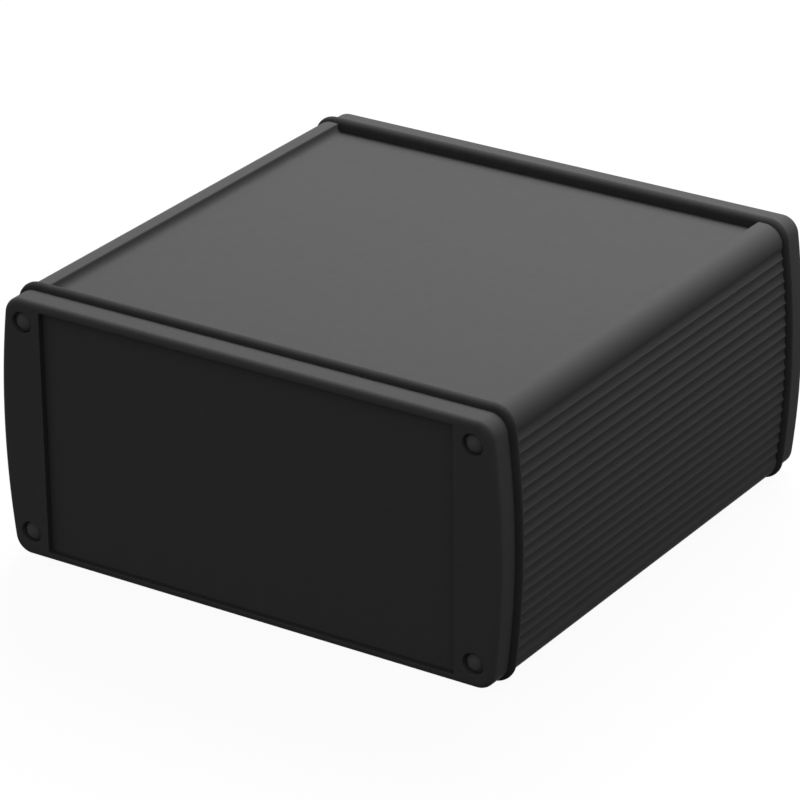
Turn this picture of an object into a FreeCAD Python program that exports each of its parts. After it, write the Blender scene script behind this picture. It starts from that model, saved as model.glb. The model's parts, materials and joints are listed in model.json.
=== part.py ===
import FreeCAD, Part
import enum
import math
import os
import Sketcher

# Extruded aluminium enclosure with an end cap and a rubber gasket at each end.
#
# X runs to the right across the front cap, Y runs to the rear along the extrusion and Z is up.
# The origin is at the bottom centre of the whole case, and lengths are in millimetres.
# The rear of the case is like its front, so each rear piece is a front piece turned half way
# round the vertical axis. Left and right are those of someone who looks at the front cap.

# Driving dimensions: name, size, what it measures
DRIVING_SIZES = (
    ("body_width", 165.2, "extrusion, across the middle of its bowed sides"),
    ("body_height", 80.0, "extrusion, from the flat underside to the top of the rails"),
    ("body_length", 143.6, "extrusion, from saw cut to saw cut"),
    ("bow_radius", 270.0, "gentle bow of each side"),
    ("shoulder_radius", 5.8, "round from a side to the top or the underside"),
    ("wall_thickness", 2.4, "wall behind the flutes, under the recess and at the underside"),
    ("rail_width", 10.4, "from the middle of a side to the inner edge of its rail"),
    ("recess_depth", 2.5, "long recess between the two rails on top"),
    ("flute_pitch", 3.39, "from one ridge to the next along the bow"),
    ("flute_depth", 0.5, "hollow between two ridges"),
    ("cavity_radius", 2.0, "inside corners of the extrusion"),
    ("guide_inset", 7.6, "from the middle of a side to the tip of a board guide"),
    ("guide_thickness", 1.5, "one rib of a board guide"),
    ("guide_gap", 2.0, "slot between the two ribs of a guide"),
    ("guide_pitch", 16.0, "from one slot up to the next"),
    ("screw_inset_side", 8.8, "from the middle of a side to a screw axis"),
    ("screw_inset_top", 7.65, "from the top or the underside to a screw axis"),
    ("screw_thread", 3.0, "outer diameter of the screws"),
    ("thread_gap", 0.05, "clearance round a screw in its channel"),
    ("channel_wall", 2.5, "metal round a screw channel"),
    ("channel_slot", 1.6, "slit that opens a screw channel to the inside"),
    ("gasket_thickness", 3.8, "gap between the extrusion and a cap"),
    ("gasket_bulge", 1.0, "how far the crest of a gasket stands out of the extrusion"),
    ("gasket_chamfer", 1.2, "chamfer along each edge of the crest"),
    ("gasket_gap", 0.2, "clearance round the lip of a cap"),
    ("cap_inset", 0.3, "how far a cap stays inside the extrusion at its sides and underside"),
    ("cap_top_inset", 0.7, "how far the top of a cap stays below the rails"),
    ("cap_depth", 7.7, "cap, from its seat on the gasket to its outer face"),
    ("cap_edge_chamfer", 1.1, "chamfer along the outer edge of a cap"),
    ("face_margin_side", 6.0, "from a screw axis to the sunk face of a cap"),
    ("face_margin", 2.5, "from the top or bottom of a cap to its sunk face"),
    ("face_depth", 2.0, "how deep the face of a cap is sunk"),
    ("panel_thickness", 2.0, "metal behind the sunk face"),
    ("lip_thickness", 1.6, "wall of the lip that centres a cap in the extrusion"),
    ("lip_reach", 2.0, "how far the lip enters the extrusion"),
    ("lip_gap", 0.3, "clearance between the lip and the extrusion"),
    ("shank_hole", 3.4, "hole for a screw through a cap and a gasket"),
    ("screw_length", 16.0, "screw, from under its head to its tip"),
    ("head_diameter", 5.6, "pan head of a screw"),
    ("head_height", 2.0, "height of the pan head"),
    ("plug_bore", 6.6, "hole that takes a plug and the head of its screw"),
    ("plug_bore_depth", 4.3, "that hole, from the outer face to the seat of the screw"),
    ("plug_gap", 0.05, "clearance round a plug"),
    ("plug_seat_gap", 0.1, "clearance between a plug and its screw"),
    ("plug_depth", 0.2, "top of a plug, below the outer face of the cap"),
)

# Places and sizes that several pieces share. Heights count from the middle of the extrusion.
HALF_WIDTH = "(sizes.body_width / 2)"
HALF_HEIGHT = "(sizes.body_height / 2)"
HALF_LENGTH = "(sizes.body_length / 2)"
MID_HEIGHT = f"({HALF_HEIGHT} + sizes.gasket_bulge)"
PAST_THE_ENDS = "(2 * sizes.body_length)"
CAVITY_TOP = f"({HALF_HEIGHT} - sizes.recess_depth - sizes.wall_thickness)"
CAVITY_BOTTOM = f"({HALF_HEIGHT} - sizes.wall_thickness)"
SCREW_X = f"({HALF_WIDTH} - sizes.screw_inset_side)"
SCREW_Z = f"({HALF_HEIGHT} - sizes.screw_inset_top)"
BORE_RADIUS = "(sizes.screw_thread / 2 + sizes.thread_gap)"
CHANNEL_RADIUS = f"({BORE_RADIUS} + sizes.channel_wall)"
LIP_SIDE = f"({SCREW_X} - {CHANNEL_RADIUS} - sizes.lip_gap)"
LIP_TOP = f"({CAVITY_TOP} - sizes.lip_gap)"
LIP_BOTTOM = f"({CAVITY_BOTTOM} - sizes.lip_gap)"
LIP_LENGTH = "(sizes.gasket_thickness + sizes.lip_reach)"
CAP_SEAT_Y = f"({HALF_LENGTH} + sizes.gasket_thickness)"
CAP_FACE_Y = f"({CAP_SEAT_Y} + sizes.cap_depth)"
SCREW_SEAT_Y = f"({CAP_FACE_Y} - sizes.plug_bore_depth)"

# The four corners as (name, side, level): side is -1 at the left, level is -1 at the bottom
CORNERS = (
    ("top_left", -1, 1),
    ("top_right", 1, 1),
    ("bottom_left", -1, -1),
    ("bottom_right", 1, -1),
)
ENDS = ("front", "rear")


class Point(enum.IntEnum):
    """Ends and centre of a line or arc."""
    START = 1
    FINISH = 2
    CENTRE = 3


class Axis(enum.IntEnum):
    """The line of a sketch that runs through its origin from left to right."""
    ACROSS = -1


ORIGIN = (Axis.ACROSS, Point.START)

doc = FreeCAD.newDocument("enclosure")
sizes = doc.addObject("Spreadsheet::Sheet", "sizes")
for row, (alias, size, meaning) in enumerate(DRIVING_SIZES, start=1):
    sizes.set(f"A{row}", meaning)
    sizes.set(f"B{row}", str(size))
    sizes.setAlias(f"B{row}", alias)
doc.recompute()


def number(expression):
    """Value of an expression on the sheet."""
    return float(sizes.evalExpression(expression))


def signed(sign, expression):
    """The same expression, negative where the sign is."""
    return expression if sign > 0 else f"-{expression}"


# Sketches


def new_body(name):
    return doc.addObject("PartDesign::Body", name)


def new_sketch(body, name, forward="0"):
    """Sketch across the case, X to the right and Z up, moved forward by an expression."""
    sketch = body.newObject("Sketcher::SketchObject", f"{body.Name}_{name}_sketch")
    plane = next(item for item in body.Origin.OriginFeatures if item.Role == "XZ_Plane")
    sketch.AttachmentSupport = [(plane, "")]
    sketch.MapMode = "FlatFace"
    sketch.setExpression("AttachmentOffset.Base.z", forward)
    return sketch


def constrain(sketch, expression, kind, *where):
    """Add a dimension to a sketch and bind it to an expression."""
    index = sketch.addConstraint(Sketcher.Constraint(kind, *where, number(expression)))
    sketch.setExpression(f"Constraints[{index}]", expression)


def pin(sketch, geometry, point, x, z):
    """Hold a point of a sketch at two coordinates."""
    constrain(sketch, x, "DistanceX", *ORIGIN, geometry, point)
    constrain(sketch, z, "DistanceY", *ORIGIN, geometry, point)


def add_line(sketch, start, finish):
    return sketch.addGeometry(Part.LineSegment(FreeCAD.Vector(*start), FreeCAD.Vector(*finish)))


def add_arc(sketch, x, z, radius, first_angle, last_angle):
    circle = Part.Circle(FreeCAD.Vector(x, z), FreeCAD.Vector(0, 0, 1), radius)
    return sketch.addGeometry(Part.ArcOfCircle(circle, first_angle, last_angle))


def add_circle(sketch, x, z, radius):
    centre = FreeCAD.Vector(number(x), number(z))
    circle = sketch.addGeometry(Part.Circle(centre, FreeCAD.Vector(0, 0, 1), number(radius)))
    constrain(sketch, radius, "Radius", circle)
    pin(sketch, circle, Point.CENTRE, x, z)


def add_rectangle(sketch, left, right, bottom, top):
    x = (number(left), number(right))
    z = (number(bottom), number(top))
    corners = [(x[0], z[0]), (x[1], z[0]), (x[1], z[1]), (x[0], z[1])]
    lines = [add_line(sketch, corners[i], corners[(i + 1) % 4]) for i in range(4)]
    for i in range(4):
        line = lines[i]
        following = lines[(i + 1) % 4]
        direction = "Horizontal" if i % 2 == 0 else "Vertical"
        sketch.addConstraint(Sketcher.Constraint("Coincident", line, Point.FINISH, following, Point.START))
        sketch.addConstraint(Sketcher.Constraint(direction, line))
    pin(sketch, lines[0], Point.START, left, bottom)
    pin(sketch, lines[2], Point.START, right, top)


def add_corner_block(sketch, side, level, x, z, radius, far_x, far_z):
    """Block that fills a corner as far as a far point, rounded about the point x, z inside."""
    x_at = number(x)
    z_at = number(z)
    r = number(radius)
    far_at = (number(far_x), number(far_z))
    first_angle = {(1, 1): 180, (1, -1): 90, (-1, -1): 0, (-1, 1): 270}[(side, level)]
    arc = add_arc(sketch, x_at, z_at, r, math.radians(first_angle), math.radians(first_angle + 90))
    upright_end, level_end = (Point.START, Point.FINISH) if side == level else (Point.FINISH, Point.START)
    upright = add_line(sketch, (x_at - side * r, z_at), (x_at - side * r, far_at[1]))
    across = add_line(sketch, (x_at - side * r, far_at[1]), far_at)
    outside = add_line(sketch, far_at, (far_at[0], z_at - level * r))
    back = add_line(sketch, (far_at[0], z_at - level * r), (x_at, z_at - level * r))
    sketch.addConstraint(Sketcher.Constraint("Tangent", arc, upright_end, upright, Point.START))
    sketch.addConstraint(Sketcher.Constraint("Coincident", upright, Point.FINISH, across, Point.START))
    sketch.addConstraint(Sketcher.Constraint("Coincident", across, Point.FINISH, outside, Point.START))
    sketch.addConstraint(Sketcher.Constraint("Coincident", outside, Point.FINISH, back, Point.START))
    sketch.addConstraint(Sketcher.Constraint("Tangent", back, Point.FINISH, arc, level_end))
    sketch.addConstraint(Sketcher.Constraint("Vertical", upright))
    sketch.addConstraint(Sketcher.Constraint("Horizontal", across))
    sketch.addConstraint(Sketcher.Constraint("Vertical", outside))
    sketch.addConstraint(Sketcher.Constraint("Horizontal", back))
    constrain(sketch, radius, "Radius", arc)
    pin(sketch, arc, Point.CENTRE, x, z)
    pin(sketch, outside, Point.START, far_x, far_z)


def add_outline(sketch, half_width, top, bottom, corner, bow):
    """Flat top and bottom, bowed sides and rounded corners.

    Each side is one arc of radius bow, with its centre level with the middle of the extrusion,
    and runs smoothly into the corners.
    """
    top_at = number(top)
    bottom_at = number(bottom)
    r = number(corner)
    bow_at = number(bow)
    bow_x = number(half_width) - bow_at
    high_angle = math.asin((top_at - r) / (bow_at - r))
    low_angle = math.asin((bottom_at - r) / (bow_at - r))
    high_x = bow_x + (bow_at - r) * math.cos(high_angle)
    low_x = bow_x + (bow_at - r) * math.cos(low_angle)
    quarter = math.pi / 2
    half = math.pi
    right = add_arc(sketch, bow_x, 0, bow_at, -low_angle, high_angle)
    top_right = add_arc(sketch, high_x, top_at - r, r, high_angle, quarter)
    upper = add_line(sketch, (high_x, top_at), (-high_x, top_at))
    top_left = add_arc(sketch, -high_x, top_at - r, r, quarter, half - high_angle)
    left = add_arc(sketch, -bow_x, 0, bow_at, half - high_angle, half + low_angle)
    bottom_left = add_arc(sketch, -low_x, r - bottom_at, r, half + low_angle, 3 * quarter)
    lower = add_line(sketch, (-low_x, -bottom_at), (low_x, -bottom_at))
    bottom_right = add_arc(sketch, low_x, r - bottom_at, r, 3 * quarter, 4 * quarter - low_angle)
    loop = (right, top_right, upper, top_left, left, bottom_left, lower, bottom_right)
    for edge, following in zip(loop, loop[1:] + loop[:1]):
        sketch.addConstraint(Sketcher.Constraint("Tangent", edge, Point.FINISH, following, Point.START))
    sketch.addConstraint(Sketcher.Constraint("Horizontal", upper))
    sketch.addConstraint(Sketcher.Constraint("Horizontal", lower))
    sketch.addConstraint(Sketcher.Constraint("Equal", right, left))
    for rounded in (top_left, bottom_left, bottom_right):
        sketch.addConstraint(Sketcher.Constraint("Equal", top_right, rounded))
    sketch.addConstraint(Sketcher.Constraint("PointOnObject", right, Point.CENTRE, Axis.ACROSS))
    sketch.addConstraint(Sketcher.Constraint("Symmetric", right, Point.CENTRE, left, Point.CENTRE, *ORIGIN))
    constrain(sketch, bow, "Radius", right)
    constrain(sketch, corner, "Radius", top_right)
    constrain(sketch, f"{bow} - {half_width}", "DistanceX", right, Point.CENTRE, *ORIGIN)
    constrain(sketch, top, "DistanceY", *ORIGIN, upper, Point.START)
    constrain(sketch, bottom, "DistanceY", lower, Point.START, *ORIGIN)


# Features


def check_step(body, before, grows):
    """Recompute, and stop if the body didn't gain or lose material as it should."""
    doc.recompute()
    change = body.Shape.Volume - before
    if grows != (change > 0) or change == 0:
        raise RuntimeError(f"{body.Tip.Name} changed the volume of {body.Name} by {change}")


def extrude(body, kind, name, sketch, length, toward):
    """Pad or pocket a sketch toward the front, the rear or both, half of the length each way."""
    before = body.Shape.Volume if body.Tip else 0
    feature = body.newObject(f"PartDesign::{kind}", f"{body.Name}_{name}")
    feature.Profile = sketch
    feature.setExpression("Length", length)
    if toward == "both":
        feature.SideType = "Symmetric"
    else:
        own_way = "front" if kind == "Pad" else "rear"
        feature.Reversed = toward != own_way
    body.Tip = feature
    check_step(body, before, grows=kind == "Pad")
    return feature


def repeat(body, kind, name, feature, axis, count, spacing):
    """Repeat a pocket along or round an axis of its own sketch."""
    before = body.Shape.Volume
    pattern = body.newObject(f"PartDesign::{kind}", f"{body.Name}_{name}")
    pattern.Originals = [feature]
    link = "Axis" if kind == "PolarPattern" else "Direction"
    setattr(pattern, link, (feature.Profile[0], [axis]))
    pattern.Mode = "Spacing"
    pattern.setExpression("Occurrences", count)
    pattern.setExpression("Offset", spacing)
    body.Tip = pattern
    check_step(body, before, grows=False)


def edges_in_plane(shape, y):
    """Names of the edges that lie in the plane across the case at y."""
    names = []
    for index, edge in enumerate(shape.Edges, start=1):
        box = edge.BoundBox
        if max(abs(box.YMin - y), abs(box.YMax - y)) < 1e-4:
            names.append(f"Edge{index}")
    return names


def chamfer(body, name, planes, size):
    """Chamfer the edges that the last feature has in the given planes."""
    before = body.Shape.Volume
    base = body.Tip
    edges = [edge for y in planes for edge in edges_in_plane(base.Shape, y)]
    feature = body.newObject("PartDesign::Chamfer", f"{body.Name}_{name}")
    feature.Base = (base, edges)
    feature.setExpression("Size", size)
    body.Tip = feature
    check_step(body, before, grows=False)


def place(piece, end, x, y, z, turn=FreeCAD.Rotation()):
    """Put a piece at its place at the front, or turned half way round at the rear."""
    half_turn = FreeCAD.Rotation(FreeCAD.Vector(0, 0, 1), 180 if end == "rear" else 0)
    piece.Placement = FreeCAD.Placement(FreeCAD.Vector(), half_turn * turn)
    piece.setExpression("Placement.Base.x", x)
    piece.setExpression("Placement.Base.y", signed(1 if end == "rear" else -1, y))
    piece.setExpression("Placement.Base.z", z)


# Extrusion


def make_blank():
    """Outside of the extrusion: bowed outline, recess along the top, flutes along both sides."""
    body = new_body("extrusion_blank")
    outline = new_sketch(body, "outline")
    add_outline(outline, HALF_WIDTH, HALF_HEIGHT, HALF_HEIGHT, "sizes.shoulder_radius", "sizes.bow_radius")
    extrude(body, "Pad", "outline", outline, "sizes.body_length", "both")

    recess = new_sketch(body, "recess")
    recess_side = f"({HALF_WIDTH} - sizes.rail_width)"
    recess_floor = f"({HALF_HEIGHT} - sizes.recess_depth)"
    recess_top = f"({HALF_HEIGHT} + sizes.recess_depth)"
    add_rectangle(recess, signed(-1, recess_side), recess_side, recess_floor, recess_top)
    extrude(body, "Pocket", "recess", recess, PAST_THE_ENDS, "both")

    for side_name, side in (("right", 1), ("left", -1)):
        add_flutes(body, side_name, side)
    return body


def add_flutes(body, side_name, side):
    """Shallow round hollows along one side, as many as fit between its two shoulders.

    A hollow is cut by a circle that sinks flute_depth into the bow. It is slightly wider than the
    pitch, so neighbours meet in a sharp ridge. The sketch has its origin at the centre of the bow,
    so the hollows are spread by turning the first one about that origin.
    """
    angle = "(1 deg * sizes.flute_pitch / sizes.bow_radius * 180 / pi)"
    reach = f"asin(({HALF_HEIGHT} - sizes.shoulder_radius) / (sizes.bow_radius - sizes.shoulder_radius))"
    count = f"floor(2 * {reach} / {angle})"
    first_angle = f"({angle} * ({count} - 1) / 2)"
    half_opening = "(0.51 * sizes.flute_pitch)"
    cutter = f"(({half_opening}^2 + sizes.flute_depth^2) / (2 * sizes.flute_depth))"
    distance = f"(sizes.bow_radius - sizes.flute_depth + {cutter})"

    sketch = new_sketch(body, f"{side_name}_flute")
    bow_centre = f"({HALF_WIDTH} - sizes.bow_radius)"
    sketch.setExpression("AttachmentOffset.Base.x", signed(side, bow_centre))
    x = signed(side, f"({distance} * cos({first_angle}))")
    z = signed(-side, f"({distance} * sin({first_angle}))")
    add_circle(sketch, x, z, cutter)
    flute = extrude(body, "Pocket", f"{side_name}_flute", sketch, PAST_THE_ENDS, "both")
    repeat(body, "PolarPattern", f"{side_name}_flutes", flute, "N_Axis", count, angle)


def make_hollow():
    """Room inside the extrusion, less the board guides and the four screw channels."""
    body = new_body("extrusion_hollow")
    side_wall = "(sizes.flute_depth + sizes.wall_thickness)"
    cavity_side = f"({HALF_WIDTH} - {side_wall})"
    cavity = new_sketch(body, "cavity")
    add_outline(
        cavity, cavity_side, CAVITY_TOP, CAVITY_BOTTOM,
        "sizes.cavity_radius", f"(sizes.bow_radius - {side_wall})",
    )
    extrude(body, "Pad", "cavity", cavity, PAST_THE_ENDS, "both")

    # Board guides: pairs of ribs with a slot between, as many pairs as fit between the channels
    guide_height = "(sizes.guide_gap + 2 * sizes.guide_thickness)"
    free_height = f"(2 * ({SCREW_Z} - {CHANNEL_RADIUS}) - {guide_height})"
    guide_count = f"(floor({free_height} / sizes.guide_pitch) + 1)"
    first_slot = f"-(sizes.guide_pitch * ({guide_count} - 1) / 2)"
    tip = f"({HALF_WIDTH} - sizes.guide_inset)"
    guides = new_sketch(body, "guides")
    for side in (-1, 1):
        inner = signed(side, tip)
        outer = signed(side, HALF_WIDTH)
        left, right = (inner, outer) if side > 0 else (outer, inner)
        for level in (-1, 1):
            near = f"({first_slot} + {level} * sizes.guide_gap / 2)"
            far = f"({near} + {level} * sizes.guide_thickness)"
            bottom, top = (near, far) if level > 0 else (far, near)
            add_rectangle(guides, left, right, bottom, top)
    ribs = extrude(body, "Pocket", "guides", guides, PAST_THE_ENDS, "both")
    repeat(body, "LinearPattern", "all_guides", ribs, "V_Axis", guide_count, "sizes.guide_pitch")

    # Screw channels: a solid block in each corner, rounded about its screw, with a slit bore
    blocks = new_sketch(body, "channel_blocks")
    slits = new_sketch(body, "channel_slits")
    bores = new_sketch(body, "channel_bores")
    for name, side, level in CORNERS:
        x = signed(side, SCREW_X)
        z = signed(level, SCREW_Z)
        add_corner_block(
            blocks, side, level, x, z, CHANNEL_RADIUS, signed(side, HALF_WIDTH), signed(level, HALF_HEIGHT)
        )
        mouth = signed(side, f"({SCREW_X} - {CHANNEL_RADIUS} - sizes.channel_slot)")
        left, right = (mouth, x) if side > 0 else (x, mouth)
        bottom = f"({z} - sizes.channel_slot / 2)"
        top = f"({z} + sizes.channel_slot / 2)"
        add_rectangle(slits, left, right, bottom, top)
        add_circle(bores, x, z, BORE_RADIUS)
    extrude(body, "Pocket", "channel_blocks", blocks, PAST_THE_ENDS, "both")
    extrude(body, "Pad", "channel_slits", slits, PAST_THE_ENDS, "both")
    extrude(body, "Pad", "channel_bores", bores, PAST_THE_ENDS, "both")
    return body


def make_extruded_body():
    extrusion = doc.addObject("Part::Cut", "extruded_body")
    extrusion.Base = make_blank()
    extrusion.Tool = make_hollow()
    extrusion.setExpression("Placement.Base.z", MID_HEIGHT)
    return extrusion


# End pieces


def offset_outline(sketch, outward, upward):
    """Outline of the extrusion, its top moved upward and the rest outward."""
    top = f"({HALF_HEIGHT} + {upward})"
    bottom = f"({HALF_HEIGHT} + {outward})"
    corner = f"(sizes.shoulder_radius + {outward})"
    add_outline(sketch, f"({HALF_WIDTH} + {outward})", top, bottom, corner, f"(sizes.bow_radius + {outward})")


def add_screw_holes(body, name, diameter, depth, forward, toward):
    """Cut one round hole about each of the four screw axes, starting from a plane forward of y = 0."""
    sketch = new_sketch(body, name, forward)
    for corner, side, level in CORNERS:
        add_circle(sketch, signed(side, SCREW_X), signed(level, SCREW_Z), f"({diameter} / 2)")
    extrude(body, "Pocket", name, sketch, depth, toward)


def make_gasket(end):
    """Flat rubber ring with a crest that stands out between the extrusion and the cap.

    Its seat on the extrusion is at y = 0 and its seat under the cap is in front of that.
    """
    body = new_body(f"{end}_gasket")
    outline = new_sketch(body, "outline")
    offset_outline(outline, "sizes.gasket_bulge", "sizes.gasket_bulge")
    extrude(body, "Pad", "outline", outline, "sizes.gasket_thickness", "front")
    chamfer(body, "crest", (0, -number("sizes.gasket_thickness")), "sizes.gasket_chamfer")

    opening = new_sketch(body, "opening")
    side = f"({LIP_SIDE} + sizes.gasket_gap)"
    bottom = f"-({LIP_BOTTOM} + sizes.gasket_gap)"
    top = f"({LIP_TOP} + sizes.gasket_gap)"
    add_rectangle(opening, signed(-1, side), side, bottom, top)
    extrude(body, "Pocket", "opening", opening, "(4 * sizes.gasket_thickness)", "both")
    add_screw_holes(body, "screw_holes", "sizes.shank_hole", "(4 * sizes.gasket_thickness)", "0", "both")
    place(body, end, "0", HALF_LENGTH, MID_HEIGHT)
    return body


def make_cap(end):
    """End cap: chamfered outer edge, sunk face, hollow back and a lip that enters the extrusion.

    Its seat on the gasket is at y = 0, its outer face is in front and its lip is behind.
    """
    body = new_body(f"{end}_cap")
    outline = new_sketch(body, "outline")
    offset_outline(outline, "-sizes.cap_inset", "-sizes.cap_top_inset")
    extrude(body, "Pad", "outline", outline, "sizes.cap_depth", "front")
    chamfer(body, "outer_edge", (-number("sizes.cap_depth"),), "sizes.cap_edge_chamfer")

    face = new_sketch(body, "face", "sizes.cap_depth")
    face_side = f"({SCREW_X} - sizes.face_margin_side)"
    face_bottom = f"-({HALF_HEIGHT} - sizes.cap_inset - sizes.face_margin)"
    face_top = f"({HALF_HEIGHT} - sizes.cap_top_inset - sizes.face_margin)"
    add_rectangle(face, signed(-1, face_side), face_side, face_bottom, face_top)
    extrude(body, "Pocket", "face", face, "sizes.face_depth", "rear")

    lip = new_sketch(body, "lip")
    add_rectangle(lip, signed(-1, LIP_SIDE), LIP_SIDE, signed(-1, LIP_BOTTOM), LIP_TOP)
    extrude(body, "Pad", "lip", lip, LIP_LENGTH, "rear")

    back = new_sketch(body, "back", signed(-1, LIP_LENGTH))
    back_side = f"({LIP_SIDE} - sizes.lip_thickness)"
    back_bottom = f"-({LIP_BOTTOM} - sizes.lip_thickness)"
    back_top = f"({LIP_TOP} - sizes.lip_thickness)"
    back_depth = f"({LIP_LENGTH} + sizes.cap_depth - sizes.face_depth - sizes.panel_thickness)"
    add_rectangle(back, signed(-1, back_side), back_side, back_bottom, back_top)
    extrude(body, "Pocket", "back", back, back_depth, "front")

    add_screw_holes(
        body, "plug_holes", "sizes.plug_bore", "sizes.plug_bore_depth", "sizes.cap_depth", "rear"
    )
    add_screw_holes(body, "screw_holes", "sizes.shank_hole", "(4 * sizes.cap_depth)", "0", "both")
    place(body, end, "0", CAP_SEAT_Y, MID_HEIGHT)
    return body


# Fasteners


def make_screw(end, corner, side, level):
    """Screw with a plain round head. The head sits on y = 0 and the shank runs to the rear."""
    body = new_body(f"{end}_screw_{corner}")
    head = new_sketch(body, "head")
    add_circle(head, "0", "0", "(sizes.head_diameter / 2)")
    extrude(body, "Pad", "head", head, "sizes.head_height", "front")

    shank = new_sketch(body, "shank")
    add_circle(shank, "0", "0", "(sizes.screw_thread / 2)")
    extrude(body, "Pad", "shank", shank, "sizes.screw_length", "rear")
    place(body, end, signed(side, SCREW_X), SCREW_SEAT_Y, f"({MID_HEIGHT} + {level} * {SCREW_Z})")
    return body


def make_plug(end, corner, side, level):
    """Round plug that closes a plug hole just below the outer face of the cap.

    It stands on the head of its screw, which is the origin, and its own axis points outward.
    """
    foot_depth = "(sizes.plug_bore_depth - sizes.head_height - sizes.plug_seat_gap)"
    plug = doc.addObject("Part::Cylinder", f"{end}_plug_{corner}")
    plug.setExpression("Radius", "sizes.plug_bore / 2 - sizes.plug_gap")
    plug.setExpression("Height", f"{foot_depth} - sizes.plug_depth")
    outward = FreeCAD.Rotation(FreeCAD.Vector(1, 0, 0), 90)
    foot_y = f"({CAP_FACE_Y} - {foot_depth})"
    place(plug, end, signed(side, SCREW_X), foot_y, f"({MID_HEIGHT} + {level} * {SCREW_Z})", outward)
    return plug


# Assembly

nodes = [make_extruded_body()]
for end in ENDS:
    nodes.append(make_cap(end))
    nodes.append(make_gasket(end))
    for corner in CORNERS:
        nodes.append(make_screw(end, *corner))
        nodes.append(make_plug(end, *corner))
for node in nodes:
    node.Label = node.Name
doc.recompute()

failed = [item.Name for item in doc.Objects if {"Invalid", "Error"} & set(item.State)]
if failed:
    raise RuntimeError(f"these objects failed: {failed}")
for node in nodes:
    if node.Shape.isNull() or not node.Shape.isValid() or len(node.Shape.Solids) != 1:
        raise RuntimeError(f"{node.Label} isn't one valid solid")

os.makedirs("parts", exist_ok=True)
for node in nodes:
    node.Shape.exportStep(os.path.join("parts", f"{node.Label}.step"))
    print(f"{node.Label}: {node.Shape.Volume:.1f} cubic millimetres")
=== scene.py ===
import json
import math

import bmesh
import bpy
from mathutils import Matrix, Vector
from mathutils.geometry import tessellate_polygon


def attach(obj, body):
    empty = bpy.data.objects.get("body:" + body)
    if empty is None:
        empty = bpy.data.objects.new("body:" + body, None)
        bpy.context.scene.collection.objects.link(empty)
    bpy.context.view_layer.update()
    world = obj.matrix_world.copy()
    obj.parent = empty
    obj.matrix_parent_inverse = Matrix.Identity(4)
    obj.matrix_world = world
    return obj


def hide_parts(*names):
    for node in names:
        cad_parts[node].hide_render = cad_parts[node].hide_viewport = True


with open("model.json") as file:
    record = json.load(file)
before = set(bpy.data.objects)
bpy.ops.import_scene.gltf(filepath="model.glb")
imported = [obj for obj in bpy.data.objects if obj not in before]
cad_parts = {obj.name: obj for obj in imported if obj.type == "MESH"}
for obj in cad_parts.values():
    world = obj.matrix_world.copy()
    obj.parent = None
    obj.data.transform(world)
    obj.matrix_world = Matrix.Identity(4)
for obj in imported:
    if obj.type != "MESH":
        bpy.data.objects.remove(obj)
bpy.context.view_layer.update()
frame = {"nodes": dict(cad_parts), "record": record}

# Camera, as the photograph was taken: metres, degrees and millimetres of lens
CAMERA_AT = Vector((0.64955, -0.99039, 0.58693))
CAMERA_TARGET = Vector((0.02332, -0.04059, 0.05708))
CAMERA_ROLL = -0.567
LENS = 205.65
SENSOR = 36.0


def make_camera():
    data = bpy.data.cameras.new("camera")
    data.sensor_width = SENSOR
    data.lens = LENS
    data.clip_start = 0.05
    data.clip_end = 20.0
    camera = bpy.data.objects.new("camera", data)
    bpy.context.scene.collection.objects.link(camera)
    aim = (CAMERA_TARGET - CAMERA_AT).to_track_quat("-Z", "Y").to_matrix().to_4x4()
    roll = Matrix.Rotation(math.radians(CAMERA_ROLL), 4, "Z")
    camera.matrix_world = Matrix.Translation(CAMERA_AT) @ aim @ roll
    bpy.context.scene.camera = camera


make_camera()


# Materials


def new_material(name):
    material = bpy.data.materials.new(name)
    material.use_nodes = True
    return material, material.node_tree, material.node_tree.nodes["Principled BSDF"]


def grain(tree, scale, detail, stretch=(1, 1, 1)):
    """Noise from 0 to 1 in the frame of the object, so that it stays where the metal is."""
    place = tree.nodes.new("ShaderNodeTexCoord")
    mapping = tree.nodes.new("ShaderNodeMapping")
    mapping.inputs["Scale"].default_value = stretch
    noise = tree.nodes.new("ShaderNodeTexNoise")
    noise.inputs["Scale"].default_value = scale
    noise.inputs["Detail"].default_value = detail
    tree.links.new(place.outputs["Object"], mapping.inputs["Vector"])
    tree.links.new(mapping.outputs["Vector"], noise.inputs["Vector"])
    return noise.outputs["Fac"]


def spread(tree, source, low, high):
    """The middle half of a noise, spread over a range."""
    node = tree.nodes.new("ShaderNodeMapRange")
    node.inputs["From Min"].default_value = 0.25
    node.inputs["From Max"].default_value = 0.75
    node.inputs["To Min"].default_value = low
    node.inputs["To Max"].default_value = high
    tree.links.new(source, node.inputs["Value"])
    return node.outputs["Result"]


def tint(tree, shader, source, dark, light):
    ramp = tree.nodes.new("ShaderNodeValToRGB")
    ramp.color_ramp.elements[0].position = 0.3
    ramp.color_ramp.elements[0].color = (*dark, 1)
    ramp.color_ramp.elements[1].position = 0.7
    ramp.color_ramp.elements[1].color = (*light, 1)
    tree.links.new(source, ramp.inputs["Fac"])
    tree.links.new(ramp.outputs["Color"], shader.inputs["Base Color"])


def bumps(tree, shader, *layers):
    """Stack of bumps, each a noise and its height in millimetres."""
    below = None
    for source, height in layers:
        bump = tree.nodes.new("ShaderNodeBump")
        bump.inputs["Strength"].default_value = 1.0
        bump.inputs["Distance"].default_value = height * 0.001
        tree.links.new(source, bump.inputs["Height"])
        if below is not None:
            tree.links.new(below, bump.inputs["Normal"])
        below = bump.outputs["Normal"]
    tree.links.new(below, shader.inputs["Normal"])


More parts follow.
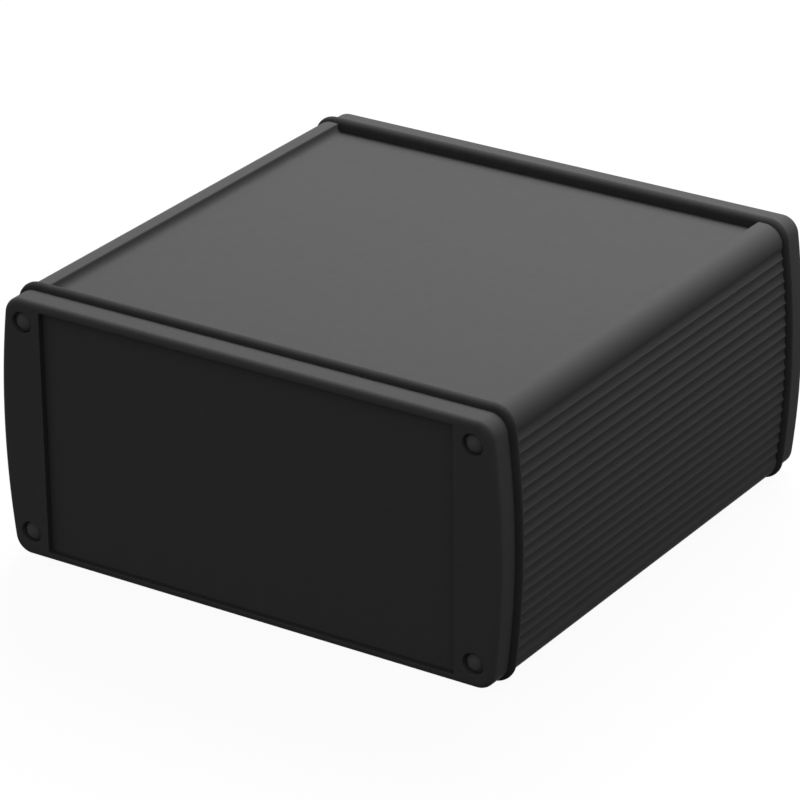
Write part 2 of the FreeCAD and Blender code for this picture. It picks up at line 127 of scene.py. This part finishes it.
def make_extrusion_material():
    """Black anodised aluminium: matt from the etch, with faint die lines along the extrusion."""
    material, tree, shader = new_material("black_anodised")
    die_lines = grain(tree, 1.0, 3, (1500, 6, 1500))
    cloud = grain(tree, 400, 3)
    etch = grain(tree, 3500, 2)
    tint(tree, shader, cloud, (0.088, 0.088, 0.089), (0.092, 0.092, 0.093))
    tree.links.new(spread(tree, die_lines, 0.42, 0.50), shader.inputs["Roughness"])
    shader.inputs["Specular IOR Level"].default_value = 0.004
    bumps(tree, shader, (die_lines, 0.002), (etch, 0.004))
    return material


def make_cap_material():
    """Die cast cap under a fine black coat."""
    material, tree, shader = new_material("black_coated")
    pebble = grain(tree, 2200, 3)
    cloud = grain(tree, 500, 3)
    tint(tree, shader, cloud, (0.084, 0.084, 0.085), (0.088, 0.088, 0.089))
    tree.links.new(spread(tree, pebble, 0.42, 0.52), shader.inputs["Roughness"])
    shader.inputs["Specular IOR Level"].default_value = 0.006
    bumps(tree, shader, (pebble, 0.006))
    return material


def make_painted_shade_wall_material():
    """Wall of the sunk face: a matt coat whose colour is made darker than the cap's, to paint the shade
    that falls in the recess.
    """
    material, tree, shader = new_material("painted_shade_wall")
    pebble = grain(tree, 2200, 3)
    tint(tree, shader, pebble, (0.046, 0.046, 0.046), (0.054, 0.054, 0.054))
    tree.links.new(spread(tree, pebble, 0.60, 0.72), shader.inputs["Roughness"])
    shader.inputs["Specular IOR Level"].default_value = 0.004
    bumps(tree, shader, (pebble, 0.006))
    return material


def make_gasket_material():
    """Black moulded rubber."""
    material, tree, shader = new_material("black_rubber")
    mottle = grain(tree, 250, 4)
    fine = grain(tree, 4000, 2)
    tint(tree, shader, mottle, (0.046, 0.046, 0.046), (0.053, 0.053, 0.0525))
    tree.links.new(spread(tree, mottle, 0.52, 0.66), shader.inputs["Roughness"])
    shader.inputs["Specular IOR Level"].default_value = 0.008
    bumps(tree, shader, (mottle, 0.01), (fine, 0.004))
    return material


def make_plug_material():
    """Smooth black moulded plastic."""
    material, tree, shader = new_material("black_plastic")
    sheen = grain(tree, 900, 3)
    tint(tree, shader, sheen, (0.118, 0.118, 0.119), (0.126, 0.126, 0.127))
    tree.links.new(spread(tree, sheen, 0.30, 0.38), shader.inputs["Roughness"])
    shader.inputs["Specular IOR Level"].default_value = 0.02
    bumps(tree, shader, (sheen, 0.003))
    return material


def make_screw_material():
    """Bright zinc on steel, turned, so its fine lines run round the screw."""
    material, tree, shader = new_material("zinc_plated")
    turned = grain(tree, 1.0, 3, (300, 6000, 300))
    cloud = grain(tree, 700, 3)
    tint(tree, shader, cloud, (0.50, 0.51, 0.53), (0.62, 0.63, 0.65))
    shader.inputs["Metallic"].default_value = 1.0
    tree.links.new(spread(tree, turned, 0.22, 0.34), shader.inputs["Roughness"])
    bumps(tree, shader, (turned, 0.004))
    return material


MATERIALS = {
    "extrusion": make_extrusion_material(),
    "cap": make_cap_material(),
    "gasket": make_gasket_material(),
    "plug": make_plug_material(),
    "screw": make_screw_material(),
}
# The wall of the sunk face gets a darker colour: painted shade for the recess
PAINTED_SHADE_WALL_MATERIAL = make_painted_shade_wall_material()
for part in frame["record"]["subparts"]:
    obj = frame["nodes"][part["node"]]
    obj.data.materials.clear()
    obj.data.materials.append(MATERIALS[part["material_slot"]])


# Pieces. All sizes are in millimetres. A point of an outline is (x, z) from the middle of the
# case, and depth counts from the middle of the case towards the end that the piece is on.

MM = 0.001
MIDDLE = 41.0
HALF_WIDTH = 82.6
HALF_HEIGHT = 40.0
BOW = 270.0
SHOULDER = 5.8
EXTRUSION_END = 71.8
CAP_SEAT = 75.6
CAP_FACE = 83.3
CAP_INSET = 0.3
CAP_TOP_INSET = 0.7
CAP_ROUND = 1.9
SCREW_X = 73.8
SCREW_Z = 32.35
PANEL = 81.3
PANEL_SIDE = 67.8
PANEL_BOTTOM = -37.2
PANEL_TOP = 36.8
PLUG_BORE = 3.3
SCREW_SEAT = 79.0
SHANK_HOLE = 1.7
LIP_SIDE = 69.45
LIP_BOTTOM = -37.3
LIP_TOP = 34.8
LIP_WALL = 1.6
LIP_END = 69.8
CAP_BACK = 79.3
GASKET_CREST = 1.0
GASKET_ROUND = 1.85
GASKET_GAP = 0.2
EDGE_BREAK = 0.12
PANEL_CORNER = 0.6
LIP_CORNER = 0.4

# Faces next to a round keep a flat strip of this width, so that smooth shading stays out of them
MARGIN = 0.15
SMOOTH_BELOW = 35


def case_outline(out, up):
    """Outline of the extrusion, its top moved up and the rest out: points and outward directions."""
    top = HALF_HEIGHT + up
    bottom = HALF_HEIGHT + out
    corner = SHOULDER + out
    bow = BOW + out
    bow_x = HALF_WIDTH - BOW
    high = math.asin((top - corner) / (bow - corner))
    low = math.asin((bottom - corner) / (bow - corner))
    quarter = math.pi / 2
    arcs = (
        (bow_x + (bow - corner) * math.cos(low), corner - bottom, corner, -quarter, -low, 12),
        (bow_x, 0, bow, -low, high, 24),
        (bow_x + (bow - corner) * math.cos(high), top - corner, corner, high, quarter, 12),
    )
    right = []
    for x, z, radius, first, last, count in arcs:
        for i in range(count + 1):
            if i == 0 and right:
                continue
            angle = first + (last - first) * i / count
            direction = (math.cos(angle), math.sin(angle))
            right.append((x + radius * direction[0], z + radius * direction[1], *direction))
    return right + [(-x, z, -dx, dz) for x, z, dx, dz in reversed(right)]


def rectangle(side, bottom, top, radius):
    """Rectangle with rounded corners, in the same form as an outline."""
    loop = []
    for turn, x, z in ((0, side, top), (1, -side, top), (2, -side, bottom), (3, side, bottom)):
        cx = x - math.copysign(radius, x)
        cz = z - radius if z == top else z + radius
        for i in range(5):
            angle = (turn + i / 4) * math.pi / 2
            direction = (math.cos(angle), math.sin(angle))
            loop.append((cx + radius * direction[0], cz + radius * direction[1], *direction))
    return loop


def circle(x, z, radius, count=40):
    loop = []
    for i in range(count):
        angle = 2 * math.pi * i / count
        direction = (math.cos(angle), math.sin(angle))
        loop.append((x + radius * direction[0], z + radius * direction[1], *direction))
    return loop


class Shape:
    """Mesh made of rings, strips between rings and flat faces with holes."""

    def __init__(self):
        self.mesh = bmesh.new()

    def ring(self, loop, depth, out=0.0):
        """Ring of points at one depth, each moved out along its own direction."""
        return [self.mesh.verts.new((x + dx * out, -depth, z + dz * out)) for x, z, dx, dz in loop]

    def strip(self, first, second, material=0):
        count = len(first)
        for i in range(count):
            j = (i + 1) % count
            face = self.mesh.faces.new((first[i], first[j], second[j], second[i]))
            face.material_index = material

    def steps(self, loop, places):
        """Strips through rings at (depth, out) places. Returns the first and last ring."""
        rings = [self.ring(loop, depth, out) for depth, out in places]
        for first, second in zip(rings, rings[1:]):
            self.strip(first, second)
        return rings[0], rings[-1]

    def flat(self, outer, holes=()):
        loops = [outer, *holes]
        points = [vert for loop in loops for vert in loop]
        flat_loops = [[Vector((vert.co.x, vert.co.z, 0)) for vert in loop] for loop in loops]
        for face in tessellate_polygon(flat_loops):
            self.mesh.faces.new([points[i] for i in face])

    def finish(self, name, end, slot, node, *more_materials):
        """Turn the mesh into a piece at one end of the case, which stands for a node."""
        bmesh.ops.recalc_face_normals(self.mesh, faces=self.mesh.faces)
        half_turn = Matrix.Rotation(math.pi if end == "rear" else 0, 4, "Z")
        place = half_turn @ Matrix.Translation((0, 0, MIDDLE * MM)) @ Matrix.Scale(MM, 4)
        bmesh.ops.transform(self.mesh, matrix=place, verts=self.mesh.verts)
        data = bpy.data.meshes.new(name)
        self.mesh.to_mesh(data)
        self.mesh.free()
        data.shade_smooth()
        data.set_sharp_from_angle(angle=math.radians(SMOOTH_BELOW))
        for material in (MATERIALS[slot], *more_materials):
            data.materials.append(material)
        piece = bpy.data.objects.new(name, data)
        bpy.context.scene.collection.objects.link(piece)
        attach(piece, "root")
        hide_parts(node)


WALL = 2.4
FLUTE_PITCH = 3.39
FLUTE_DEPTH = 0.5
FLUTE_OPENING = 1.02 * FLUTE_PITCH
FLUTES = 20
RAIL_EDGE = 72.2
RAIL_ROUND = 0.4
RECESS_FLOOR = 37.5
RECESS_FILLET = 1.6
CAVITY_TOP = 35.1
CAVITY_BOTTOM = -37.6
GUIDE_TIP = 75.0
GUIDE_RIB = 1.5
GUIDE_SLOT = 2.0
GUIDE_SLOTS_AT = (-24, -8, 8, 24)
CHANNEL = 4.05
CHANNEL_BORE = 1.55
CHANNEL_SLIT = 0.8


def arc(x, z, radius, first, last, count):
    """Points along an arc, angles in degrees."""
    points = []
    for i in range(count + 1):
        angle = math.radians(first + (last - first) * i / count)
        points.append((x + radius * math.cos(angle), z + radius * math.sin(angle)))
    return points


def extrusion_outside():
    """Right half of the outer contour, from the underside up: bow with flutes, rail, recess."""
    bow_x = HALF_WIDTH - BOW
    reach = math.asin((HALF_HEIGHT - SHOULDER) / (BOW - SHOULDER))
    corner_x = bow_x + (BOW - SHOULDER) * math.cos(reach)
    corner_z = HALF_HEIGHT - SHOULDER
    degrees = math.degrees(reach)
    points = [(corner_x - MARGIN, -HALF_HEIGHT)]
    points += arc(corner_x, -corner_z, SHOULDER, -90, -degrees, 14)

    # Each flute is the hollow of a circle that sinks into the bow
    cutter = ((FLUTE_OPENING / 2) ** 2 + FLUTE_DEPTH ** 2) / (2 * FLUTE_DEPTH)
    away = BOW - FLUTE_DEPTH + cutter
    step = FLUTE_PITCH / BOW
    ridge = away * math.cos(step / 2) - math.sqrt(cutter ** 2 - (away * math.sin(step / 2)) ** 2)
    swing = math.asin(ridge * math.sin(step / 2) / cutter)
    for flute in range(FLUTES):
        angle = step * (flute - (FLUTES - 1) / 2)
        x = bow_x + away * math.cos(angle)
        z = away * math.sin(angle)
        for i in range(9):
            if i == 0 and flute:
                continue
            turn = math.pi + angle + swing * (1 - i / 4)
            points.append((x + cutter * math.cos(turn), z + cutter * math.sin(turn)))

    points += arc(corner_x, corner_z, SHOULDER, degrees, 90, 18)
    points.append((corner_x - MARGIN, HALF_HEIGHT))
    round_x = RAIL_EDGE + RAIL_ROUND
    points.append((round_x + MARGIN, HALF_HEIGHT))
    points += arc(round_x, HALF_HEIGHT - RAIL_ROUND, RAIL_ROUND, 90, 180, 5)
    points += arc(RAIL_EDGE - RECESS_FILLET, RECESS_FLOOR + RECESS_FILLET, RECESS_FILLET, 0, -90, 10)[1:]
    points.append((RAIL_EDGE - RECESS_FILLET - MARGIN, RECESS_FLOOR))
    return points


def screw_channel(cavity_end):
    """Block round a screw: its underside, round corner, slit, bore and inner side, going up."""
    lean = math.degrees(math.asin(CHANNEL_SLIT / CHANNEL))
    mouth = math.degrees(math.asin(CHANNEL_SLIT / CHANNEL_BORE))
    points = [(wall_x(SCREW_Z - CHANNEL), SCREW_Z - CHANNEL)]
    points += arc(SCREW_X, SCREW_Z, CHANNEL, 270, 180 + lean, 8)
    points += arc(SCREW_X, SCREW_Z, CHANNEL_BORE, 180 + mouth, 540 - mouth, 24)
    points += [(SCREW_X - CHANNEL, SCREW_Z + CHANNEL_SLIT), (SCREW_X - CHANNEL, cavity_end)]
    return points


def wall_x(z):
    """Inner side of the bowed wall at a height."""
    inner = BOW - FLUTE_DEPTH - WALL
    return HALF_WIDTH - BOW + math.sqrt(inner ** 2 - z ** 2)


def extrusion_inside():
    """Right half of the cavity, from the bottom up: screw channel, board guides, screw channel."""
    points = [(x, -z) for x, z in reversed(screw_channel(-CAVITY_BOTTOM))]
    for middle in GUIDE_SLOTS_AT:
        for low in (middle - GUIDE_SLOT / 2 - GUIDE_RIB, middle + GUIDE_SLOT / 2):
            high = low + GUIDE_RIB
            points += [(wall_x(low), low), (GUIDE_TIP, low), (GUIDE_TIP, high), (wall_x(high), high)]
    return points + screw_channel(CAVITY_TOP)


def make_extrusion():
    """Extruded body: fluted sides, rails with a long recess between them, guides and channels."""
    shape = Shape()
    ends = []
    for half in (extrusion_outside(), extrusion_inside()):
        loop = [(x, z, 0, 0) for x, z in half + [(-x, z) for x, z in reversed(half)]]
        ends.append(shape.steps(loop, [(-EXTRUSION_END, 0), (EXTRUSION_END, 0)]))
    shape.flat(ends[0][0], [ends[1][0]])
    shape.flat(ends[0][1], [ends[1][1]])
    shape.finish("extruded_body_piece", "front", "extrusion", "extruded_body")


def quarter_round(depth, out, radius, count):
    """Places of a convex quarter round that ends level with the given depth."""
    places = []
    for i in range(count + 1):
        angle = math.pi / 2 * i / count
        places.append((depth - radius * (1 - math.sin(angle)), out - radius * (1 - math.cos(angle))))
    return places


def hole_mouth(depth, radius):
    """Places of the broken edge of a hole, from the face inward, with a margin that stays flat."""
    middle = 0.3 * radius
    return [(depth, radius + MARGIN), (depth, radius), (depth - middle, middle), (depth - radius, 0)]


def make_cap(end):
    """End cap with a round outer edge, a sunk face, plug holes, a hollow back and a lip."""
    shape = Shape()
    outline = case_outline(-CAP_INSET, -CAP_TOP_INSET)
    wall = [(CAP_SEAT, 0), *quarter_round(CAP_FACE, 0, CAP_ROUND, 8), (CAP_FACE, -CAP_ROUND - MARGIN)]
    seat, face = shape.steps(outline, wall)

    panel = rectangle(PANEL_SIDE, PANEL_BOTTOM, PANEL_TOP, PANEL_CORNER)
    mouth, step = shape.steps(panel, hole_mouth(CAP_FACE, EDGE_BREAK))
    panel_edge = shape.ring(panel, PANEL)
    # Material 1 on the wall of the sunk face is painted shade: a darker colour standing in for the
    # recess's shadow
    shape.strip(step, panel_edge, material=1)
    shape.flat(panel_edge)
    face_holes = [mouth]
    seat_holes = []
    for side in (-1, 1):
        for level in (-1, 1):
            bore = circle(side * SCREW_X, level * SCREW_Z, PLUG_BORE)
            top, foot = shape.steps(bore, [*hole_mouth(CAP_FACE, EDGE_BREAK), (SCREW_SEAT, 0)])
            hole = circle(side * SCREW_X, level * SCREW_Z, SHANK_HOLE)
            near, far = shape.steps(hole, [(SCREW_SEAT, 0), (CAP_SEAT, 0)])
            shape.strip(foot, near)
            face_holes.append(top)
            seat_holes.append(far)
    shape.flat(face, face_holes)

    lip = rectangle(LIP_SIDE, LIP_BOTTOM, LIP_TOP, LIP_CORNER)
    lip_root, lip_end = shape.steps(lip, [(CAP_SEAT, 0), (LIP_END, 0)])
    room = rectangle(LIP_SIDE - LIP_WALL, LIP_BOTTOM + LIP_WALL, LIP_TOP - LIP_WALL, LIP_CORNER)
    room_edge, room_end = shape.steps(room, [(LIP_END, 0), (CAP_BACK, 0)])
    shape.strip(lip_end, room_edge)
    shape.flat(room_end)
    shape.flat(seat, [lip_root, *seat_holes])
    shape.finish(f"{end}_cap_piece", end, "cap", f"{end}_cap", PAINTED_SHADE_WALL_MATERIAL)


def make_gasket(end):
    """Rubber ring with a round crest, which stands out of the extrusion and the cap."""
    shape = Shape()
    outline = case_outline(0, 0)
    middle = (EXTRUSION_END + CAP_SEAT) / 2
    half = (CAP_SEAT - EXTRUSION_END) / 2
    places = []
    for i in range(17):
        angle = math.pi * (i / 16 - 0.5)
        out = GASKET_CREST - GASKET_ROUND * (1 - math.cos(angle))
        places.append((middle + half * math.sin(angle), out))
    back, front = shape.steps(outline, places)
    opening = rectangle(LIP_SIDE + GASKET_GAP, LIP_BOTTOM - GASKET_GAP, LIP_TOP + GASKET_GAP, LIP_CORNER)
    openings = [shape.steps(opening, [(EXTRUSION_END, 0), (CAP_SEAT, 0)])]
    for side in (-1, 1):
        for level in (-1, 1):
            hole = circle(side * SCREW_X, level * SCREW_Z, SHANK_HOLE)
            openings.append(shape.steps(hole, [(EXTRUSION_END, 0), (CAP_SEAT, 0)]))
    shape.flat(back, [pair[0] for pair in openings])
    shape.flat(front, [pair[1] for pair in openings])
    shape.finish(f"{end}_gasket_piece", end, "gasket", f"{end}_gasket")


PLUG_FOOT = 81.1
PLUG_FOOT_ROUND = 0.1
PLUG_RADIUS = 3.25
PLUG_RIM = 81.3
PLUG_TOP = 83.1


def make_plug(end, corner, side, level):
    """Round plug with a domed head."""
    shape = Shape()
    loop = circle(side * SCREW_X, level * SCREW_Z, PLUG_RADIUS)
    places = [(PLUG_FOOT, -PLUG_FOOT_ROUND), (PLUG_FOOT + PLUG_FOOT_ROUND, 0), (PLUG_RIM, 0)]
    height = PLUG_TOP - PLUG_RIM
    ball = (PLUG_RADIUS ** 2 + height ** 2) / (2 * height)
    steepest = math.asin(PLUG_RADIUS / ball)
    for i in range(1, 15):
        angle = steepest * (1 - i / 15)
        places.append((PLUG_TOP - ball * (1 - math.cos(angle)), ball * math.sin(angle) - PLUG_RADIUS))
    foot, crown = shape.steps(loop, places)
    shape.flat(foot)
    shape.flat(crown)
    shape.finish(f"{end}_plug_{corner}_piece", end, "plug", f"{end}_plug_{corner}")


HEAD_RADIUS = 2.8
HEAD_HEIGHT = 2.0
HEAD_ROUND = 1.2
CROSS_ARM = 1.45
CROSS_HALF_WIDTH = 0.4
CROSS_FOOT_ARM = 0.7
CROSS_FOOT_HALF_WIDTH = 0.3
CROSS_DEPTH = 1.3
SHANK_RADIUS = 1.5
SHANK_LENGTH = 16.0
SHANK_POINTS = 24
NECK_LENGTH = 2.2
TIP_CHAMFER = 0.5
THREAD_START = 2.4
THREAD_DEPTH = 0.27
THREAD_PITCH = 0.5
THREAD_TURNS = 26


def cross(x, z, arm, half_width):
    """Outline of a cross recess."""
    loop = []
    for turn in range(4):
        cos, sin = ((1, 0), (0, 1), (-1, 0), (0, -1))[turn]
        for u, v in ((arm, -half_width), (arm, half_width), (half_width, half_width)):
            loop.append((x + u * cos - v * sin, z + u * sin + v * cos, 0, 0))
    return loop


def make_screw(end, corner, side, level):
    """Pan head screw with a cross recess and a rolled thread."""
    shape = Shape()
    x = side * SCREW_X
    z = level * SCREW_Z
    head_top = SCREW_SEAT + HEAD_HEIGHT
    head = circle(x, z, HEAD_RADIUS, 32)
    under, crown = shape.steps(head, [(SCREW_SEAT, 0), *quarter_round(head_top, 0, HEAD_ROUND, 6)])
    recess = shape.ring(cross(x, z, CROSS_ARM, CROSS_HALF_WIDTH), head_top)
    foot = cross(x, z, CROSS_FOOT_ARM, CROSS_FOOT_HALF_WIDTH)
    recess_foot = shape.ring(foot, head_top - CROSS_DEPTH)
    shape.strip(recess, recess_foot)
    shape.flat(recess_foot)
    shape.flat(crown, [recess])

    # Thread: crest and root rings lean by one pitch a turn, and meet across a seam
    shank = circle(x, z, SHANK_RADIUS, SHANK_POINTS)
    rows = []
    for row in range(2 * THREAD_TURNS + 1):
        out = 0 if row % 2 else -THREAD_DEPTH
        ring = []
        for i, (px, pz, dx, dz) in enumerate(shank):
            depth = SCREW_SEAT - THREAD_START - THREAD_PITCH * (row / 2 + i / SHANK_POINTS)
            ring.append(shape.mesh.verts.new((px + dx * out, -depth, pz + dz * out)))
        rows.append(ring)
    for first, second in zip(rows, rows[1:]):
        for i in range(SHANK_POINTS - 1):
            shape.mesh.faces.new((first[i], first[i + 1], second[i + 1], second[i]))
    for row in range(len(rows) - 3):
        first, second = rows[row], rows[row + 1]
        after, beyond = rows[row + 2], rows[row + 3]
        shape.mesh.faces.new((first[-1], after[0], beyond[0], second[-1]))
    neck = shape.ring(shank, SCREW_SEAT)
    plain = shape.ring(shank, SCREW_SEAT - NECK_LENGTH)
    shape.strip(neck, plain)
    shape.strip(plain, rows[0])
    shape.flat(under, [neck])
    tip = shape.ring(shank, SCREW_SEAT - SHANK_LENGTH, -TIP_CHAMFER)
    shape.strip(rows[-1], tip)
    shape.flat(tip)
    bmesh.ops.holes_fill(shape.mesh, edges=shape.mesh.edges, sides=0)
    shape.finish(f"{end}_screw_{corner}_piece", end, "screw", f"{end}_screw_{corner}")


CORNERS = (
    ("top_left", -1, 1),
    ("top_right", 1, 1),
    ("bottom_left", -1, -1),
    ("bottom_right", 1, -1),
)
make_extrusion()
for end in ("front", "rear"):
    make_cap(end)
    make_gasket(end)
    for corner in CORNERS:
        make_plug(end, *corner)
        make_screw(end, *corner)


# Stage and light

WHITE = (1, 1, 1, 1)
FLOOR_SIZE = 30
FLOOR_COLOR = (0.05, 0.05, 0.05, 1)
FLOOR_GLOW = 0.95
SKY_ON_OBJECT = 0.32
SKY_TO_EYE = 1.0
LAMP_TARGET = Vector((0, 0, 0.05))


def seen_directly(tree):
    """1 for rays from the camera and for those that a glossy or clear surface sends on, else 0."""
    path = tree.nodes.new("ShaderNodeLightPath")
    glossy = tree.nodes.new("ShaderNodeMath")
    glossy.operation = "MAXIMUM"
    tree.links.new(path.outputs["Is Camera Ray"], glossy.inputs[0])
    tree.links.new(path.outputs["Is Glossy Ray"], glossy.inputs[1])
    clear = tree.nodes.new("ShaderNodeMath")
    clear.operation = "MAXIMUM"
    tree.links.new(glossy.outputs[0], clear.inputs[0])
    tree.links.new(path.outputs["Is Transmission Ray"], clear.inputs[1])
    return clear.outputs[0]


def make_floor():
    bpy.ops.mesh.primitive_plane_add(size=FLOOR_SIZE, location=(0, 0, 0))
    floor = bpy.context.object
    floor.name = "floor"
    material = bpy.data.materials.new("floor")
    material.use_nodes = True
    tree = material.node_tree
    tree.nodes.clear()
    paint = tree.nodes.new("ShaderNodeBsdfDiffuse")
    paint.inputs["Color"].default_value = FLOOR_COLOR
    glow = tree.nodes.new("ShaderNodeEmission")
    glow.inputs["Color"].default_value = WHITE
    strength = tree.nodes.new("ShaderNodeMath")
    strength.operation = "MULTIPLY"
    strength.inputs[1].default_value = FLOOR_GLOW
    tree.links.new(seen_directly(tree), strength.inputs[0])
    tree.links.new(strength.outputs[0], glow.inputs["Strength"])
    both = tree.nodes.new("ShaderNodeAddShader")
    tree.links.new(paint.outputs[0], both.inputs[0])
    tree.links.new(glow.outputs[0], both.inputs[1])
    output = tree.nodes.new("ShaderNodeOutputMaterial")
    tree.links.new(both.outputs[0], output.inputs["Surface"])
    floor.data.materials.append(material)


def make_sky():
    world = bpy.data.worlds.new("world")
    bpy.context.scene.world = world
    world.use_nodes = True
    tree = world.node_tree
    background = tree.nodes["Background"]
    background.inputs["Color"].default_value = WHITE
    strength = tree.nodes.new("ShaderNodeMapRange")
    strength.inputs["To Min"].default_value = SKY_ON_OBJECT
    strength.inputs["To Max"].default_value = SKY_TO_EYE
    tree.links.new(seen_directly(tree), strength.inputs["Value"])
    tree.links.new(strength.outputs["Result"], background.inputs["Strength"])


def area_lamp(name, at, size, power):
    """Square lamp that looks at the case: metres and watts."""
    data = bpy.data.lights.new(name, "AREA")
    data.size = size
    data.energy = power
    lamp = bpy.data.objects.new(name, data)
    bpy.context.scene.collection.objects.link(lamp)
    lamp.location = at
    lamp.rotation_euler = (LAMP_TARGET - Vector(at)).to_track_quat("-Z", "Y").to_euler()


make_floor()
make_sky()
area_lamp("key", (-0.5, 0.95, 1.15), 1.0, 27.5)
area_lamp("top", (0.16, 0.20, 0.42), 0.25, 0.68)

bpy.context.scene.view_settings.view_transform = "Standard"
